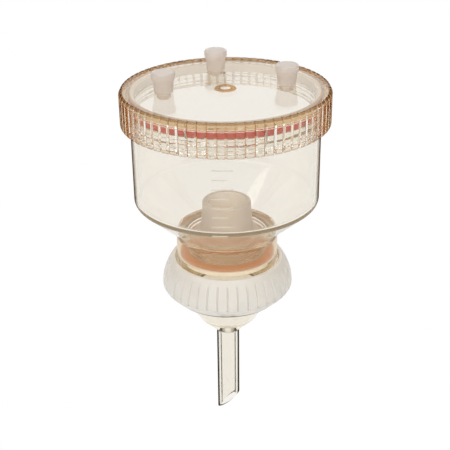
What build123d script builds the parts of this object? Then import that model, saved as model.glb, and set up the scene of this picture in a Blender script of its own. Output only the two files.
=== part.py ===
"""Vacuum filtration unit for 47 mm membranes: a lidded 250 ml funnel clamped on a stemmed base.

Everything is round about the Z axis. The origin is on that axis where the outlet stem
meets the base's cone, so the stem hangs below z = 0 and all the rest stands above it.
"""
import os
from math import cos, degrees, radians, sin, sqrt, tan

from build123d import *

os.makedirs("parts", exist_ok=True)

# ---- Driving dimensions, millimetres ----

# Outlet stem and base
STEM_R = 5.75
STEM_BORE_R = 4.0
STEM_LENGTH = 50.0
STEM_BEVEL_ANGLE = 41.5
STEM_BEVEL_TURN = -16.0
BASE_WALL = 2.2
BASE_CONE_R = 14.5
BASE_BODY_R = 23.0
BASE_BOWL_HEIGHT = 13.9
BASE_CORNER_RADIUS = 8.0
BASE_FLANGE_STEP = 1.9
BASE_FLANGE_THICKNESS = 6.0
SPIGOT_HEIGHT = 13.8
SPIGOT_LEDGE_WIDTH = 1.9

# Filter stack
MEMBRANE_DIAMETER = 47.0
MEMBRANE_THICKNESS = 0.2
SUPPORT_R = 20.3
SUPPORT_THICKNESS = 3.0
SUPPORT_HOLE_R = 0.8
SUPPORT_HOLE_PITCH = 2.9
SUPPORT_HOLE_RINGS = 6
NECK_GASKET_THICKNESS = 1.5
NECK_GASKET_R = 23.2
SEAL_CORD_R = 1.0
SEAL_DEPTH = 8.0
MEMBRANE_GAP = 0.2

# Funnel
CUP_R = 44.5
CUP_WALL = 2.35
CUP_HEIGHT = 46.1
FLOOR_ANGLE = 41.5
FILTER_BORE_R = 17.5
INNER_TUBE_WALL = 1.9
INNER_TUBE_RING_COUNT = 4
INNER_TUBE_RING_HEIGHT = 0.6
INNER_TUBE_RING_BASE = 1.4
CORE_DEPTH = 9.5
CORE_CHAMFER = 1.5
NECK_ROOF = 1.4
FLOOR_CORNER_RADIUS = 1.6

# Graduations, one every 25 ml
GRADUATION_COUNT = 8
GRADUATION_STEP = 4.48
GRADUATION_BELOW_RIM = 14.6
GRADUATION_START_ANGLE = 261.5
GRADUATION_LONG = 9.5
GRADUATION_SHORT = 7.0
GRADUATION_LINE = 0.45
GRADUATION_RELIEF = 0.15

# Locking nut
NUT_HEIGHT = 20.65
NUT_WIDEST_WALL = 6.65
NUT_WIDEST_HEIGHT = 6.8
NUT_TOP_WALL = 1.65
NUT_BOTTOM_WALL = 1.15
NUT_LIP_THICKNESS = 3.0
NUT_SHOULDER_WALL = 4.75
NUT_SHOULDER_HEIGHT = 5.2
NUT_SHOULDER_FALL = 0.35
NUT_ROUNDING_WALL = 5.75
NUT_ROUNDING_HEIGHT = 2.2
NUT_RIB_COUNT = 40
NUT_GROOVE_WIDTH = 1.2
NUT_GROOVE_DEPTH = 1.2
NUT_GROOVE_BELOW_TOP = 1.8

# Lid
LID_DISC_THICKNESS = 3.2
LID_RIM_INNER_R = 47.2
LID_RIM_HEIGHT = 0.8
LID_RIM_WIDTH = 0.5
LID_BEVEL_WIDTH = 0.85
LID_BEVEL_HEIGHT = 1.6
LID_SKIRT_DEPTH = 11.3
LID_SKIRT_WALL = 3.15
LID_SKIRT_CHAMFER = 0.4
LID_RIB_COUNT = 72
LID_GROOVE_WIDTH = 1.3
LID_GROOVE_DEPTH = 0.85
LID_GASKET_THICKNESS = 4.1
LID_GASKET_WIDTH = 2.1
LID_GASKET_RECESS = 0.6
LID_GASKET_INSET = 0.2
CENTRE_BOSS_R = 4.8
CENTRE_BOSS_HEIGHT = 0.7
CENTRE_DISH_R = 3.1
CENTRE_DISH_DEPTH = 0.5

# Ports and their plugs
PORT_RIGHT_R = 29.0
PORT_RIGHT_ANGLE = 11.0
PORT_BACK_R = 31.0
PORT_BACK_ANGLE = 98.5
PORT_LEFT_R = 28.4
PORT_LEFT_ANGLE = 188.0
PORT_BORE_R = 3.2
PLUG_HEIGHT = 9.5
PLUG_NECK_R = 4.35
PLUG_BODY_R = 4.9
PLUG_HEAD_R = 5.5
PLUG_HEAD_HEIGHT = 3.0
PLUG_HEAD_TAPER = 0.6
PLUG_HEAD_ROUNDING = 0.9
PLUG_SHANK_LENGTH = 5.4
PLUG_TIP_WIDTH = 0.4
PLUG_TIP_LENGTH = 0.6

# Loose flask stopper
STOPPER_HEIGHT = 27.7
STOPPER_FLANGE_R = 16.8
STOPPER_FLANGE_HEIGHT = 11.4
STOPPER_FLANGE_DRAFT = 0.3
STOPPER_BODY_R = 12.9
STOPPER_TOP_R = 11.7
STOPPER_MOUTH_R = 9.0
STOPPER_HOLLOW_DEPTH = 15.0
STOPPER_HOLLOW_DRAFT = 0.8
STOPPER_BORE_R = 5.6
STOPPER_EDGE_ROUNDING = 0.7

# Threads, right-handed
THREAD_LEAD = 4.0
THREAD_BASE = 1.9
THREAD_CREST = 1.0
LID_THREAD_HEIGHT = 1.1
NECK_THREAD_HEIGHT = 0.6
LID_THREAD_TURNS = 1.25
NECK_THREAD_TURNS = 2.0
NUT_THREAD_TURNS = 1.6
THREAD_ROOT = 0.15
CUP_THREAD_BELOW_RIM = 1.6
NECK_THREAD_ABOVE_END = 1.4
LID_THREAD_ABOVE_END = 0.3
NUT_THREAD_BELOW_TOP = 0.1

# Clearances
SEAT_GAP = 0.1
SLIDE_GAP = 0.1
BORE_GAP = 0.25
THREAD_RADIAL_GAP = 0.3
NECK_END_GAP = 0.3
NUT_LIP_GAP = 0.5
FLANGE_GAP = 0.85

# ---- Heights and radii worked out from them ----

membrane_r = MEMBRANE_DIAMETER / 2
neck_bore_r = membrane_r + MEMBRANE_GAP
spigot_r = neck_bore_r - BORE_GAP
seal_r = neck_bore_r - SLIDE_GAP - SEAL_CORD_R
recess_r = SUPPORT_R + SLIDE_GAP
chamber_r = recess_r - SPIGOT_LEDGE_WIDTH
inner_tube_r = FILTER_BORE_R + INNER_TUBE_WALL

flange_r = BASE_BODY_R + BASE_FLANGE_STEP
nut_lip_r = BASE_BODY_R + NUT_LIP_GAP
nut_bore_r = flange_r + FLANGE_GAP
neck_r = nut_bore_r - THREAD_RADIAL_GAP - NECK_THREAD_HEIGHT
nut_top_r = nut_bore_r + NUT_TOP_WALL
nut_shoulder_r = nut_bore_r + NUT_SHOULDER_WALL
nut_widest_r = nut_bore_r + NUT_WIDEST_WALL
nut_rounding_r = nut_bore_r + NUT_ROUNDING_WALL
nut_bottom_r = nut_bore_r + NUT_BOTTOM_WALL

cone_top = BASE_CONE_R - STEM_R
nut_bottom = cone_top + BASE_BOWL_HEIGHT
nut_top = nut_bottom + NUT_HEIGHT
widest_z = nut_bottom + NUT_WIDEST_HEIGHT
shoulder_z = nut_top - NUT_SHOULDER_HEIGHT
flange_bottom = nut_bottom + NUT_LIP_THICKNESS + SEAT_GAP
flange_top = flange_bottom + BASE_FLANGE_THICKNESS
neck_end = flange_top + NECK_END_GAP
spigot_top = flange_top + SPIGOT_HEIGHT
membrane_top = spigot_top + MEMBRANE_THICKNESS
gasket_bottom = membrane_top + SEAT_GAP
tube_end = gasket_bottom + NECK_GASKET_THICKNESS

floor_slope = tan(radians(FLOOR_ANGLE))
floor_drop = (CUP_R - neck_r) * floor_slope
core_top = tube_end + CORE_DEPTH
neck_top = core_top + NECK_ROOF
corner_z = neck_top + floor_drop
rim_top = corner_z + CUP_HEIGHT
floor_rise = CUP_WALL / cos(radians(FLOOR_ANGLE))
cup_bore_r = CUP_R - CUP_WALL

lid_gasket_bottom = rim_top + SEAT_GAP
disc_bottom = lid_gasket_bottom + LID_GASKET_THICKNESS + SEAT_GAP
disc_top = disc_bottom + LID_DISC_THICKNESS
shoulder_bottom = disc_bottom - LID_GASKET_RECESS
lid_top = disc_top + LID_RIM_HEIGHT
gasket_outer_r = CUP_R - LID_GASKET_INSET
gasket_inner_r = gasket_outer_r - LID_GASKET_WIDTH
skirt_bottom = shoulder_bottom - LID_SKIRT_DEPTH
skirt_bore_r = CUP_R + LID_THREAD_HEIGHT + THREAD_RADIAL_GAP
lid_r = skirt_bore_r + LID_SKIRT_WALL


ports = {
    "right": (PORT_RIGHT_R * cos(radians(PORT_RIGHT_ANGLE)), PORT_RIGHT_R * sin(radians(PORT_RIGHT_ANGLE))),
    "back": (PORT_BACK_R * cos(radians(PORT_BACK_ANGLE)), PORT_BACK_R * sin(radians(PORT_BACK_ANGLE))),
    "left": (PORT_LEFT_R * cos(radians(PORT_LEFT_ANGLE)), PORT_LEFT_R * sin(radians(PORT_LEFT_ANGLE))),
}

cone_offset = BASE_WALL * sqrt(2)
bowl_slope = BASE_BOWL_HEIGHT / (BASE_BODY_R - BASE_CONE_R)
bowl_offset = BASE_WALL * sqrt(1 + 1 / bowl_slope ** 2)

cup_thread_bottom = rim_top - CUP_THREAD_BELOW_RIM - THREAD_LEAD * LID_THREAD_TURNS
neck_thread_bottom = neck_end + NECK_THREAD_ABOVE_END
lid_thread_bottom = skirt_bottom + LID_THREAD_ABOVE_END + THREAD_BASE / 2
nut_thread_bottom = nut_top - NUT_THREAD_BELOW_TOP - THREAD_BASE / 2 - THREAD_LEAD * NUT_THREAD_TURNS


def cone_height(radius):
    """Height of the base's inner surface over the 45 degree cone."""
    return radius - STEM_R + cone_offset


def bowl_height(radius):
    """Height of the base's inner surface over the steeper bowl."""
    return cone_top + (radius + bowl_offset - BASE_CONE_R) * bowl_slope


def floor_height(radius):
    """Height of the funnel floor's inner surface at a radius."""
    return corner_z - (CUP_R - radius) * floor_slope + floor_rise


def meshing_angle(bottom, mate_bottom):
    """Turn about Z that starts a ridge at its own height midway between its mate's turns."""
    return 360 * (bottom - mate_bottom - THREAD_LEAD / 2) / THREAD_LEAD


def thread_ridge(root_r, crest_r, bottom, turns, start_angle=0):
    """One helical thread ridge, its root sunk a little into the wall that carries it."""
    outward = 1 if crest_r > root_r else -1
    sunk_r = root_r - outward * THREAD_ROOT
    with BuildPart() as ridge:
        with BuildLine():
            helix = Helix(THREAD_LEAD, THREAD_LEAD * turns, sunk_r)
        with BuildSketch(Plane(origin=(sunk_r, 0, 0), x_dir=(1, 0, 0), z_dir=(0, 1, 0))):
            depth = (crest_r - sunk_r)
            Polygon(
                (0, THREAD_BASE / 2),
                (0, -THREAD_BASE / 2),
                (depth, -THREAD_CREST / 2),
                (depth, THREAD_CREST / 2),
                align=None,
            )
        sweep(path=helix, is_frenet=True)
    return ridge.part.rotate(Axis.Z, start_angle).translate((0, 0, bottom))


# ---- Base: stem, cone, bowl, flange and spigot in one moulding ----

inner_corner_r = (bowl_height(0) - cone_height(0)) / (1 - bowl_slope)

with BuildPart() as base:
    with BuildSketch(Plane.XZ):
        Polygon(
            (STEM_BORE_R, -STEM_LENGTH),
            (STEM_R, -STEM_LENGTH),
            (STEM_R, 0),
            (BASE_CONE_R, cone_top),
            (BASE_BODY_R, nut_bottom),
            (BASE_BODY_R, flange_bottom),
            (flange_r, flange_bottom),
            (flange_r, flange_top),
            (spigot_r, flange_top),
            (spigot_r, spigot_top),
            (recess_r, spigot_top),
            (recess_r, spigot_top - SUPPORT_THICKNESS),
            (chamber_r, spigot_top - SUPPORT_THICKNESS),
            (chamber_r, bowl_height(chamber_r)),
            (inner_corner_r, cone_height(inner_corner_r)),
            (STEM_BORE_R, cone_height(STEM_BORE_R)),
            align=None,
        )
    revolve(axis=Axis.Z)
    outer_corner = edges().filter_by(GeomType.CIRCLE).filter_by(
        lambda e: abs(e.radius - BASE_CONE_R) < 0.01 and abs(e.center().Z - cone_top) < 0.01
    )
    fillet(outer_corner, radius=BASE_CORNER_RADIUS)
    # Groove for the O-ring round the spigot
    with BuildSketch(Plane.XZ):
        with Locations((spigot_r, spigot_top - SEAL_DEPTH)):
            Rectangle(2 * (spigot_r - seal_r + SEAL_CORD_R + SEAT_GAP), 2 * (SEAL_CORD_R + SEAT_GAP))
    revolve(axis=Axis.Z, mode=Mode.SUBTRACT)
    # Slanted tip of the stem: everything below the bevel plane goes
    bevel_rise = STEM_R * tan(radians(STEM_BEVEL_ANGLE))
    bevel_plane = Plane.XY.offset(bevel_rise - STEM_LENGTH).rotated((0, -STEM_BEVEL_ANGLE, 0))
    with BuildSketch(bevel_plane):
        Rectangle(6 * STEM_R, 6 * STEM_R)
    extrude(amount=-6 * STEM_R, mode=Mode.SUBTRACT)
base.part = base.part.rotate(Axis.Z, STEM_BEVEL_TURN)
base.part.label = "base"

# ---- Filter stack on the spigot ----

with BuildPart() as filter_support:
    with BuildSketch(Plane.XY.offset(spigot_top - SUPPORT_THICKNESS)):
        Circle(SUPPORT_R)
        Circle(SUPPORT_HOLE_R, mode=Mode.SUBTRACT)
        for ring in range(1, SUPPORT_HOLE_RINGS + 1):
            with PolarLocations(ring * SUPPORT_HOLE_PITCH, 6 * ring):
                Circle(SUPPORT_HOLE_R, mode=Mode.SUBTRACT)
    extrude(amount=SUPPORT_THICKNESS)
filter_support.part.label = "filter_support"

with BuildPart() as membrane_filter:
    with BuildSketch(Plane.XY.offset(spigot_top)):
        Circle(membrane_r)
    extrude(amount=MEMBRANE_THICKNESS)
membrane_filter.part.label = "membrane_filter"

with BuildPart() as base_seal:
    with BuildSketch(Plane.XZ):
        with Locations((seal_r, spigot_top - SEAL_DEPTH)):
            Circle(SEAL_CORD_R)
    revolve(axis=Axis.Z)
base_seal.part.label = "base_seal"

# ---- Funnel: cup, conical floor, double-walled neck ----

cup_thread = thread_ridge(CUP_R, CUP_R + LID_THREAD_HEIGHT, cup_thread_bottom, LID_THREAD_TURNS)
neck_thread = thread_ridge(neck_r, neck_r + NECK_THREAD_HEIGHT, neck_thread_bottom, NECK_THREAD_TURNS)

with BuildPart() as funnel:
    with BuildSketch(Plane.XZ):
        Polygon(
            (cup_bore_r, rim_top),
            (CUP_R, rim_top),
            (CUP_R, corner_z),
            (neck_r, neck_top),
            (neck_r, neck_end),
            (neck_bore_r, neck_end),
            (neck_bore_r, core_top - CORE_CHAMFER),
            (neck_bore_r - CORE_CHAMFER, core_top),
            (inner_tube_r, core_top),
            (inner_tube_r, tube_end),
            (FILTER_BORE_R, tube_end),
            (FILTER_BORE_R, floor_height(FILTER_BORE_R)),
            (cup_bore_r, floor_height(cup_bore_r)),
            align=None,
        )
    revolve(axis=Axis.Z)
    corner_edge = edges().filter_by(GeomType.CIRCLE).filter_by(
        lambda e: abs(e.radius - CUP_R) < 0.01 and abs(e.center().Z - corner_z) < 0.01
    )
    fillet(corner_edge, radius=FLOOR_CORNER_RADIUS)
    # Fine moulded rings round the inner tube, sunk a little into its wall
    ring_step = CORE_DEPTH / (INNER_TUBE_RING_COUNT + 1)
    for ring in range(INNER_TUBE_RING_COUNT):
        ring_z = tube_end + (ring + 1) * ring_step
        with BuildSketch(Plane.XZ):
            Polygon(
                (inner_tube_r - THREAD_ROOT, ring_z - INNER_TUBE_RING_BASE / 2),
                (inner_tube_r + INNER_TUBE_RING_HEIGHT, ring_z),
                (inner_tube_r - THREAD_ROOT, ring_z + INNER_TUBE_RING_BASE / 2),
                align=None,
            )
        revolve(axis=Axis.Z)
    # Graduation lines moulded proud of the wall
    for line in range(GRADUATION_COUNT):
        line_z = rim_top - GRADUATION_BELOW_RIM - line * GRADUATION_STEP
        length = GRADUATION_LONG if line % 2 == 0 else GRADUATION_SHORT
        arc = degrees(length / CUP_R)
        line_plane = Plane.XZ.rotated((0, 0, GRADUATION_START_ANGLE))
        with BuildSketch(line_plane):
            with Locations((CUP_R, line_z)):
                Rectangle(2 * GRADUATION_RELIEF, GRADUATION_LINE)
        revolve(axis=Axis.Z, revolution_arc=arc)
    add(cup_thread)
    add(neck_thread)
funnel.part.label = "funnel"

with BuildPart() as neck_gasket:
    with BuildSketch(Plane.XY.offset(gasket_bottom)):
        Circle(NECK_GASKET_R)
        Circle(FILTER_BORE_R, mode=Mode.SUBTRACT)
    extrude(amount=NECK_GASKET_THICKNESS)
neck_gasket.part.label = "neck_gasket"

# ---- Locking nut ----

# Cutter for one groove between two ribs, from under the top edge to the widest ring
with BuildPart() as nut_groove:
    with BuildSketch(Plane.XZ):
        Polygon(
            (2 * nut_widest_r - nut_bore_r, nut_top - NUT_GROOVE_BELOW_TOP),
            (nut_shoulder_r - NUT_GROOVE_DEPTH, nut_top - NUT_GROOVE_BELOW_TOP),
            (nut_shoulder_r - NUT_GROOVE_DEPTH, shoulder_z),
            (nut_widest_r - NUT_GROOVE_DEPTH, widest_z),
            (2 * nut_widest_r - nut_bore_r, widest_z),
            align=None,
        )
    extrude(amount=NUT_GROOVE_WIDTH / 2, both=True)

nut_thread_start = meshing_angle(nut_thread_bottom, neck_thread_bottom)
nut_thread = thread_ridge(
    nut_bore_r, neck_r + THREAD_RADIAL_GAP, nut_thread_bottom, NUT_THREAD_TURNS, nut_thread_start
)

with BuildPart() as locking_nut:
    with BuildSketch(Plane.XZ):
        with BuildLine():
            shoulder = Spline(
                (nut_top_r, nut_top),
                (nut_shoulder_r, shoulder_z),
                (nut_widest_r, widest_z),
                tangents=((1, -NUT_SHOULDER_FALL), (0, -1)),
            )
            Polyline(
                shoulder @ 1,
                (nut_rounding_r, widest_z - NUT_ROUNDING_HEIGHT),
                (nut_bottom_r, nut_bottom),
                (nut_lip_r, nut_bottom),
                (nut_lip_r, nut_bottom + NUT_LIP_THICKNESS),
                (nut_bore_r, nut_bottom + NUT_LIP_THICKNESS),
                (nut_bore_r, nut_top),
                (nut_top_r, nut_top),
            )
        make_face()
    revolve(axis=Axis.Z)
    with PolarLocations(0, NUT_RIB_COUNT):
        add(nut_groove.part, mode=Mode.SUBTRACT)
    add(nut_thread)
locking_nut.part.label = "locking_nut"

# ---- Lid, its gasket and port plugs ----

# Cutter for one V groove down the lid's rim and skirt
with BuildPart() as lid_groove:
    with BuildSketch(Plane.XY.offset(skirt_bottom)):
        Polygon(
            (lid_r - LID_GROOVE_DEPTH, 0),
            (lid_r + LID_GROOVE_DEPTH / 2, LID_GROOVE_WIDTH / 2),
            (lid_r + LID_GROOVE_DEPTH / 2, -LID_GROOVE_WIDTH / 2),
            align=None,
        )
    extrude(amount=lid_top - skirt_bottom)

lid_thread_start = meshing_angle(lid_thread_bottom, cup_thread_bottom)
lid_thread = thread_ridge(
    skirt_bore_r, CUP_R + THREAD_RADIAL_GAP, lid_thread_bottom, LID_THREAD_TURNS, lid_thread_start
)

with BuildPart() as lid:
    with BuildSketch(Plane.XZ):
        Polygon(
            (0, disc_bottom),
            (gasket_outer_r + SLIDE_GAP, disc_bottom),
            (gasket_outer_r + SLIDE_GAP, shoulder_bottom),
            (skirt_bore_r, shoulder_bottom),
            (skirt_bore_r, skirt_bottom),
            (lid_r - LID_SKIRT_CHAMFER, skirt_bottom),
            (lid_r, skirt_bottom + LID_SKIRT_CHAMFER),
            (lid_r, lid_top - LID_BEVEL_HEIGHT),
            (lid_r - LID_BEVEL_WIDTH, lid_top),
            (lid_r - LID_BEVEL_WIDTH - LID_RIM_WIDTH, lid_top),
            (LID_RIM_INNER_R, disc_top),
            (0, disc_top),
            align=None,
        )
    revolve(axis=Axis.Z)
    with PolarLocations(0, LID_RIB_COUNT):
        add(lid_groove.part, mode=Mode.SUBTRACT)
    # Raised ring in the middle of the disc
    with BuildSketch(Plane.XY.offset(disc_top)):
        Circle(CENTRE_BOSS_R)
    extrude(amount=CENTRE_BOSS_HEIGHT)
    with BuildSketch(Plane.XY.offset(disc_top + CENTRE_BOSS_HEIGHT)):
        Circle(CENTRE_DISH_R)
    extrude(amount=-CENTRE_DISH_DEPTH, mode=Mode.SUBTRACT)
    # Port bores through the disc
    with BuildSketch(Plane.XY.offset(disc_bottom)):
        with Locations(*ports.values()):
            Circle(PORT_BORE_R)
    extrude(amount=LID_DISC_THICKNESS, mode=Mode.SUBTRACT)
    add(lid_thread)
lid.part.label = "lid"

with BuildPart() as lid_gasket:
    with BuildSketch(Plane.XY.offset(lid_gasket_bottom)):
        Circle(gasket_outer_r)
        Circle(gasket_inner_r, mode=Mode.SUBTRACT)
    extrude(amount=LID_GASKET_THICKNESS)
lid_gasket.part.label = "lid_gasket"


def make_plug(port, label):
    """A silicone plug: a shank in the port's bore under a tapered body with a wider head."""
    seat = disc_top + SEAT_GAP
    shank_end = seat - PLUG_SHANK_LENGTH
    shank_r = PORT_BORE_R - SLIDE_GAP
    head_bottom = seat + PLUG_HEIGHT - PLUG_HEAD_HEIGHT
    with BuildPart() as plug:
        with BuildSketch(Plane.XZ):
            Polygon(
                (0, shank_end),
                (shank_r - PLUG_TIP_WIDTH, shank_end),
                (shank_r, shank_end + PLUG_TIP_LENGTH),
                (shank_r, seat),
                (PLUG_NECK_R, seat),
                (PLUG_BODY_R, head_bottom - PLUG_HEAD_TAPER),
                (PLUG_HEAD_R, head_bottom),
                (PLUG_HEAD_R, seat + PLUG_HEIGHT),
                (0, seat + PLUG_HEIGHT),
                align=None,
            )
        revolve(axis=Axis.Z)
        fillet(edges().group_by(Axis.Z)[-1], radius=PLUG_HEAD_ROUNDING)
    plug.part = plug.part.translate((*port, 0))
    plug.part.label = label
    return plug.part


plugs = [make_plug(port, f"port_plug_{side}") for side, port in ports.items()]

# ---- Loose flask stopper, stored wide end down on the filter ----

with BuildPart() as stopper:
    stopper_top = membrane_top + STOPPER_HEIGHT
    flange_end = membrane_top + STOPPER_FLANGE_HEIGHT
    hollow_floor = stopper_top - STOPPER_HOLLOW_DEPTH
    with BuildSketch(Plane.XZ):
        Polygon(
            (STOPPER_BORE_R, membrane_top),
            (STOPPER_FLANGE_R, membrane_top),
            (STOPPER_FLANGE_R - STOPPER_FLANGE_DRAFT, flange_end),
            (STOPPER_BODY_R, flange_end),
            (STOPPER_TOP_R, stopper_top),
            (STOPPER_MOUTH_R, stopper_top),
            (STOPPER_MOUTH_R - STOPPER_HOLLOW_DRAFT, hollow_floor),
            (STOPPER_BORE_R, hollow_floor),
            align=None,
        )
    revolve(axis=Axis.Z)
    fillet(edges().group_by(Axis.Z)[-1], radius=STOPPER_EDGE_ROUNDING)
stopper.part.label = "stopper"

pieces = [base.part, filter_support.part, membrane_filter.part, base_seal.part, funnel.part]
pieces += [neck_gasket.part, locking_nut.part, lid.part, lid_gasket.part, stopper.part] + plugs
for piece in pieces:
    export_step(piece, f"parts/{piece.label}.step")
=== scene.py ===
# %% [markdown]
# # A vacuum filtration unit, dressed around its CAD frame
# The unit is a clear amber funnel with a screw lid, clamped by a white nut onto a base with
# an outlet stem. Almost every piece was moulded in a round tool, so almost every piece here
# is an outline turned about one axis, as on a lathe. The clear plastic is what the eye sees
# first, so the walls are real walls with an inside and an outside, and light bends in both.

# %% The frame
import math

import bpy
from mathutils import Matrix, Vector


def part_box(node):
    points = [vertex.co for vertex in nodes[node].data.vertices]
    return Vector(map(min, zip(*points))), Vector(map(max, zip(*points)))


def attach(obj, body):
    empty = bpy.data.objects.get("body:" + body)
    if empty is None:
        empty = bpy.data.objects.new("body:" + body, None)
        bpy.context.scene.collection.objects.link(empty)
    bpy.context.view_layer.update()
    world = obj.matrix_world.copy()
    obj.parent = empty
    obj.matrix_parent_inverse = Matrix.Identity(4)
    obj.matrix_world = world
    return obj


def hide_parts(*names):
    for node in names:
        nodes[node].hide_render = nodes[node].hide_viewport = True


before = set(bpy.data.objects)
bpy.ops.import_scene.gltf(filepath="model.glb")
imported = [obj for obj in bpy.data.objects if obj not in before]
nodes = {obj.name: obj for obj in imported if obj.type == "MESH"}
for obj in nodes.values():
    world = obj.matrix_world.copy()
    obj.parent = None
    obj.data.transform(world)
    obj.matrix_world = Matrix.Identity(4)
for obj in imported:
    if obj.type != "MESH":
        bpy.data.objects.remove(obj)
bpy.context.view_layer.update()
print("CAD nodes:", sorted(nodes))

# %% [markdown]
# ## Sizes
# The frame says where each piece starts and ends. What lies between those ends, such as a
# wall or a fillet, could be copied from the CAD meshes point by point. It is named here in
# millimetres instead, because that is how a maker draws it and how it can be changed.

# %% Sizes from the frame and from the drawing
MM = 0.001


def span(node):
    """Lowest and highest height of a CAD node, in mm."""
    low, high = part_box(node)
    return low[2] / MM, high[2] / MM


neck_end, rim_top = span("funnel")
lid_low = span("lid")[0]
nut_bottom, nut_top = span("locking_nut")
stem_tip, spigot_top = span("base")
stopper_foot, stopper_top = span("stopper")
lid_gasket_low, lid_gasket_top = span("lid_gasket")
neck_gasket_low, tube_end = span("neck_gasket")
plug_low, plug_top = span("port_plug_back")

GASKET_GAP = 0.1
DISC_THICKNESS = 3.2
RIM_RISE = 0.8
disc_bottom = lid_gasket_top + GASKET_GAP
disc_top = disc_bottom + DISC_THICKNESS
rim_crest = disc_top + RIM_RISE

CUP_R = 44.5
CUP_WALL = 2.35
CUP_HEIGHT = 46.1
FLOOR_ANGLE = math.radians(41.5)
NECK_R = 24.85
NECK_BORE_R = 23.7
FILTER_BORE_R = 17.5
INNER_TUBE_R = 19.4
CORE_DEPTH = 9.5
cup_bore_r = CUP_R - CUP_WALL
corner_z = rim_top - CUP_HEIGHT
floor_slope = math.tan(FLOOR_ANGLE)
floor_rise = CUP_WALL / math.cos(FLOOR_ANGLE)

THREAD_LEAD = 4.0
LID_THREAD_HEIGHT = 1.05
LID_THREAD_TURNS = 1.25
NUT_THREAD_HEIGHT = 0.55
NUT_THREAD_TURNS = 1.6
NECK_THREAD_TURNS = 2.0
cup_thread_bottom = rim_top - 6.6
neck_thread_bottom = neck_end + 1.4
print("cup corner at", round(corner_z, 2), "mm, rim at", round(rim_top, 2), "mm")
print("disc of the lid from", round(disc_bottom, 2), "to", round(disc_top, 2), "mm")

# %% [markdown]
# ## Helpers
# Modelling starts with nothing selected, because the frame comes in selected and an operator
# acts on all that is selected. A round moulding could be built up from cylinders and cones,
# but its fillets would then be hard to reach. Here it is turned, as its tool was: it starts
# as one point of its outline, extruding that point draws the outline, and Spin carries it
# round the axis.

# %% Start clean and draw an outline


def deselect_all():
    """Leaves nothing selected and nothing active."""
    bpy.ops.object.select_all(action="DESELECT")
    bpy.context.view_layer.objects.active = None


def rounded(corners, segments=4):
    """Outline points in mm from corners (radius, height, fillet), each fillet drawn as an arc."""
    points = []
    for index, (radius, height, fillet) in enumerate(corners):
        corner = Vector((radius, height))
        if not fillet:
            points.append(corner)
            continue
        before = (Vector(corners[index - 1][:2]) - corner).normalized()
        after = (Vector(corners[(index + 1) % len(corners)][:2]) - corner).normalized()
        half_angle = before.angle(after) / 2
        centre = corner + (before + after).normalized() * fillet / math.sin(half_angle)
        reach = fillet / math.tan(half_angle)
        first = corner + before * reach - centre
        last = corner + after * reach - centre
        for step in range(segments + 1):
            points.append(centre + first.lerp(last, step / segments).normalized() * fillet)
    return points


# %% Turn an outline into a piece


def turned(name, outline, steps=192, arc=360.0):
    """Spins a closed outline of (radius, height) points in mm about Z into a watertight piece.

    Less than a full turn leaves both ends open, so they are closed with a face each.
    """
    weld = MM / 1000
    deselect_all()
    bpy.ops.mesh.primitive_plane_add(size=MM)
    piece = bpy.context.object
    piece.name = piece.data.name = name
    bpy.ops.object.mode_set(mode="EDIT")
    bpy.ops.mesh.merge(type="CENTER")
    here = Vector((0, 0))
    for index, point in enumerate(list(outline) + [outline[0]]):
        move = (Vector(point[:2]) - here) * MM
        here = Vector(point[:2])
        if index == 0:
            bpy.ops.transform.translate(value=(move.x, 0, move.y))
        else:
            bpy.ops.mesh.extrude_vertices_move(TRANSFORM_OT_translate={"value": (move.x, 0, move.y)})
    bpy.ops.mesh.select_all(action="SELECT")
    bpy.ops.mesh.remove_doubles(threshold=weld)
    bpy.ops.mesh.spin(steps=steps, angle=math.radians(arc), center=(0, 0, 0), axis=(0, 0, 1))
    bpy.ops.mesh.select_all(action="SELECT")
    bpy.ops.mesh.remove_doubles(threshold=weld)
    if arc < 360:
        bpy.ops.mesh.fill_holes(sides=0)
    bpy.ops.mesh.normals_make_consistent(inside=False)
    bpy.ops.object.mode_set(mode="OBJECT")
    print(name, "turned from", len(outline), "points:", len(piece.data.polygons), "faces")
    return piece


# %% Smooth a piece and hand it over


def smooth(piece, angle=32):
    """Shades a piece smooth, except where its faces meet at more than the angle in degrees.

    The weighted normals keep a broad flat face flat up to the small fillet at its edge. In
    clear plastic a face that is shaded as if it were curved would bend the light like a lens.
    """
    deselect_all()
    piece.select_set(True)
    bpy.context.view_layer.objects.active = piece
    bpy.ops.object.shade_smooth_by_angle(angle=math.radians(angle))
    weighted = piece.modifiers.new("flat_faces", "WEIGHTED_NORMAL")
    weighted.keep_sharp = True
    weighted.weight = 80
    bpy.ops.object.modifier_apply(modifier=weighted.name)


def dress(piece, body, node, material):
    """Gives a finished piece its material, the body it rides on and the CAD node it stands for."""
    piece.data.materials.clear()
    piece.data.materials.append(material)
    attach(piece, body)
    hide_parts(node)


# %% [markdown]
# ## Ribs and threads
# A row of ribs is the same wall with narrow grooves pressed in. A boolean cutter for each
# groove would be slow and would leave slivers. The piece is turned with several columns of
# points to each rib, so a groove is one column picked by its angle and moved towards the
# axis. A thread is made the same way: points of a plain wall that lie close to a helix are
# moved out, or in for a nut, and the wall stays closed.

# %% Press grooves into a turned wall


def press_grooves(piece, count, half_width, depth, inside):
    """Pulls points near each of count angles towards the axis by depth(z) mm, where inside(r, z)."""
    for vertex in piece.data.vertices:
        radius = math.hypot(vertex.co.x, vertex.co.y) / MM
        if not inside(radius, vertex.co.z / MM):
            continue
        angle = math.atan2(vertex.co.y, vertex.co.x) * count / (2 * math.pi)
        offset = abs(angle - round(angle)) * 2 * math.pi / count * radius
        if offset > half_width:
            continue
        share = 1 - depth(vertex.co.z / MM) / radius
        vertex.co.x *= share
        vertex.co.y *= share


# %% Push a thread out of a turned wall


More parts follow.
